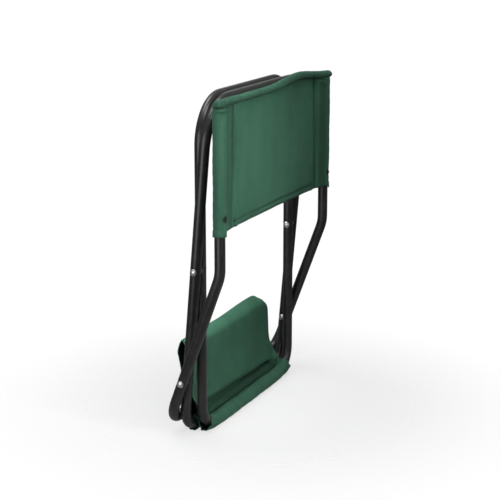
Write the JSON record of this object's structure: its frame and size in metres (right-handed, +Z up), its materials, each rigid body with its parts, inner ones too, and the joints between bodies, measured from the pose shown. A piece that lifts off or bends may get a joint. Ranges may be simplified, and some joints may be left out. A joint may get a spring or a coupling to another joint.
{
  "type": "folding camp chair",
  "caption": "Folded camp chair of black round steel tube: two nested leg hoops pivoted as a scissor, a folding back frame, and green cloth back and seat.",
  "frame": {"origin": "on the ground under the folded chair, midway between its sides and midway between its frontmost and rearmost points", "axes": "+X across the chair along the pivots, -Y towards the side of the back cloth, +Z up, from the seat bars it stands on to the floor bars"},
  "size_m": [0.4178, 0.1057, 0.5173],
  "materials": {
    "black_paint": "gloss",
    "bright_steel": "satin",
    "dark_steel": "satin",
    "green_cloth": "woven"
  },
  "bodies": {
    "outer_legs": {"outer_leg_frame": "black_paint", "leg_pivot_bolts": "bright_steel", "leg_pivot_caps": "bright_steel", "leg_pivot_washers": "bright_steel", "back_pivot_bolts": "bright_steel", "back_pivot_caps": "bright_steel", "back_pivot_washers": "bright_steel", "seat_sleeve_rear": "green_cloth"},
    "inner_legs": {"inner_leg_frame": "black_paint", "seat_sleeve_front": "green_cloth"},
    "back": {"back_frame_tube": "black_paint", "back_panel": "green_cloth", "back_hem": "green_cloth", "back_sleeve_left": "green_cloth", "back_sleeve_right": "green_cloth", "back_screws": "dark_steel"},
    "seat_rear": {"seat_panel_rear": "green_cloth"},
    "seat_front": {"seat_panel_front": "green_cloth"}
  },
  "joints": [
    {"name": "legs_fold", "type": "hinge", "parent": "outer_legs", "child": "inner_legs", "pos_m": [0, 0.006, 0.2595], "axis": [-1, 0, 0], "range_deg": [0, 59.6], "deforming": ["seat_panel_rear", "seat_panel_front"]},
    {"name": "back_fold", "type": "hinge", "parent": "outer_legs", "child": "back", "pos_m": [0, 0.02057, 0.09123], "axis": [1, 0, 0], "range_deg": [-1.5, 149.5]},
    {"name": "seat_rear_fold", "type": "hinge", "parent": "outer_legs", "child": "seat_rear", "pos_m": [0, 0.02761, 0.01], "axis": [1, 0, 0], "range_deg": [0, 71.29]},
    {"name": "seat_crease", "type": "hinge", "parent": "seat_rear", "child": "seat_front", "pos_m": [0, 0.04772, 0.13955], "axis": [-1, 0, 0], "range_deg": [0, 170.97]}
  ],
  "couplings": [
    {"joint": "seat_rear_fold", "follows": "legs_fold", "ratio": 1.1949},
    {"joint": "seat_crease", "follows": "legs_fold", "ratio": 2.8655}
  ]
}
